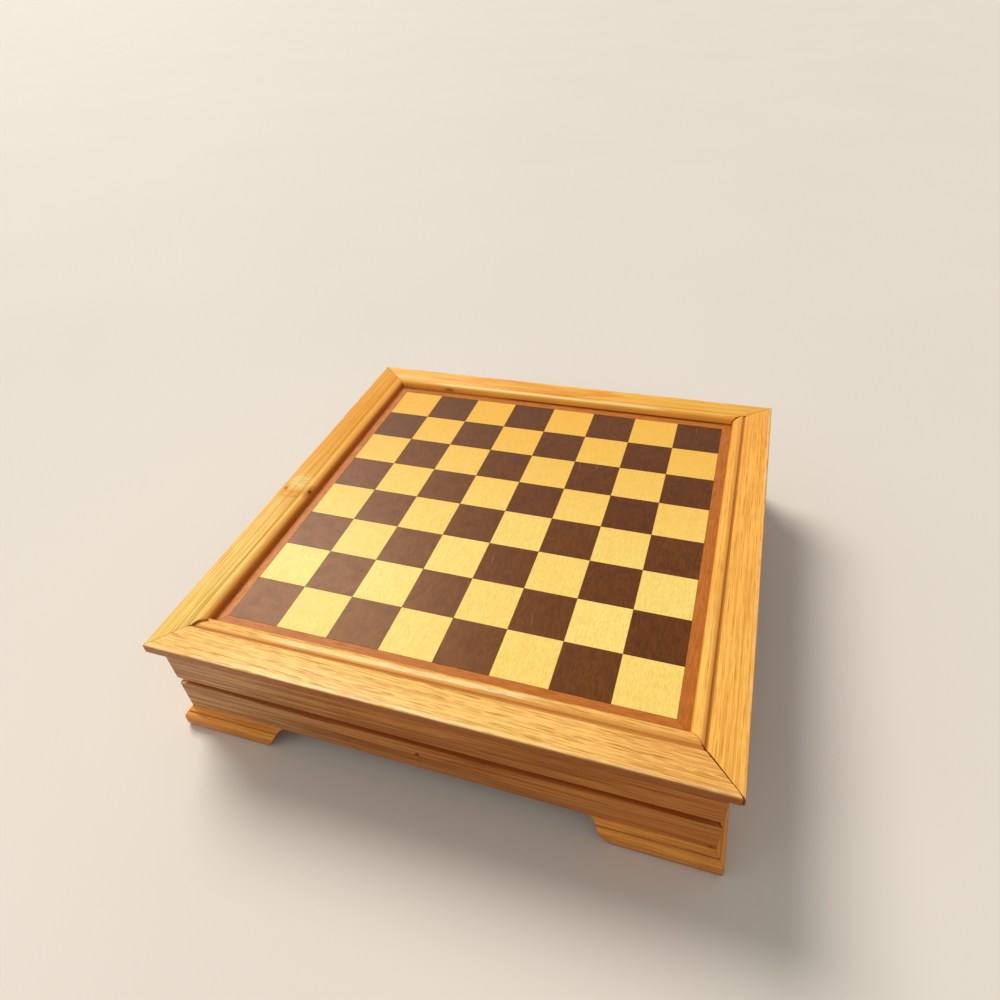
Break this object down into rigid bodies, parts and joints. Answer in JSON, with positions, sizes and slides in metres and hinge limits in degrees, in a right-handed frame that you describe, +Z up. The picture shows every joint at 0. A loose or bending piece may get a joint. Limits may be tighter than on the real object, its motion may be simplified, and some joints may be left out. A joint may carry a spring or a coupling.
{
  "type": "chess box",
  "caption": "Flat square wooden chess box on bracket feet: a recessed veneer playing board in a moulded frame, with one felt-lined drawer sliding out of each side.",
  "frame": {"origin": "on the floor, under the middle of the box", "axes": "+Z up; -Y is the front wall, which has no drawer; the drawers slide out along -X and +X"},
  "size_m": [0.3048, 0.3048, 0.0751],
  "materials": {
    "oak_frame": "pale golden oak with short dark pores, satin clear coat",
    "oak_walls": "brown oak with long straight grain, satin clear coat",
    "oak_feet": "warm orange oak, satin clear coat",
    "maple_veneer": "honey-coloured maple veneer, semi-gloss clear coat",
    "walnut_veneer": "dark walnut veneer, semi-gloss clear coat",
    "border_veneer": "reddish-orange veneer strip, semi-gloss clear coat",
    "plywood": "bare sanded birch plywood",
    "poplar": "bare sanded pale softwood",
    "felt": "green wool felt",
    "brads": "dull bright-wire brad heads"
  },
  "bodies": {
    "case": {"frame_rail_front": "oak_frame", "frame_rail_back": "oak_frame", "frame_rail_left": "oak_frame", "frame_rail_right": "oak_frame", "board_core": "plywood", "light_squares": "maple_veneer", "dark_squares": "walnut_veneer", "border_strips": "border_veneer", "wall_front": "oak_walls", "wall_back": "oak_walls", "bottom_panel": "plywood", "centre_divider": "poplar", "wall_brads": "brads", "foot_front_left_leg_x": "oak_feet", "foot_front_left_leg_y": "oak_feet", "foot_front_left_block": "poplar", "foot_front_right_leg_x": "oak_feet", "foot_front_right_leg_y": "oak_feet", "foot_front_right_block": "poplar", "foot_back_left_leg_x": "oak_feet", "foot_back_left_leg_y": "oak_feet", "foot_back_left_block": "poplar", "foot_back_right_leg_x": "oak_feet", "foot_back_right_leg_y": "oak_feet", "foot_back_right_block": "poplar"},
    "drawer_left": {"drawer_left_front": "oak_walls", "drawer_left_side_near": "poplar", "drawer_left_side_far": "poplar", "drawer_left_back": "poplar", "drawer_left_bottom": "plywood", "drawer_left_liner": "felt"},
    "drawer_right": {"drawer_right_front": "oak_walls", "drawer_right_side_near": "poplar", "drawer_right_side_far": "poplar", "drawer_right_back": "poplar", "drawer_right_bottom": "plywood", "drawer_right_liner": "felt"}
  },
  "joints": [
    {"name": "drawer_left_slide", "type": "slide", "parent": "case", "child": "drawer_left", "axis": [-1, 0, 0], "range_m": [0, 0.1]},
    {"name": "drawer_right_slide", "type": "slide", "parent": "case", "child": "drawer_right", "axis": [1, 0, 0], "range_m": [0, 0.1]}
  ]
}
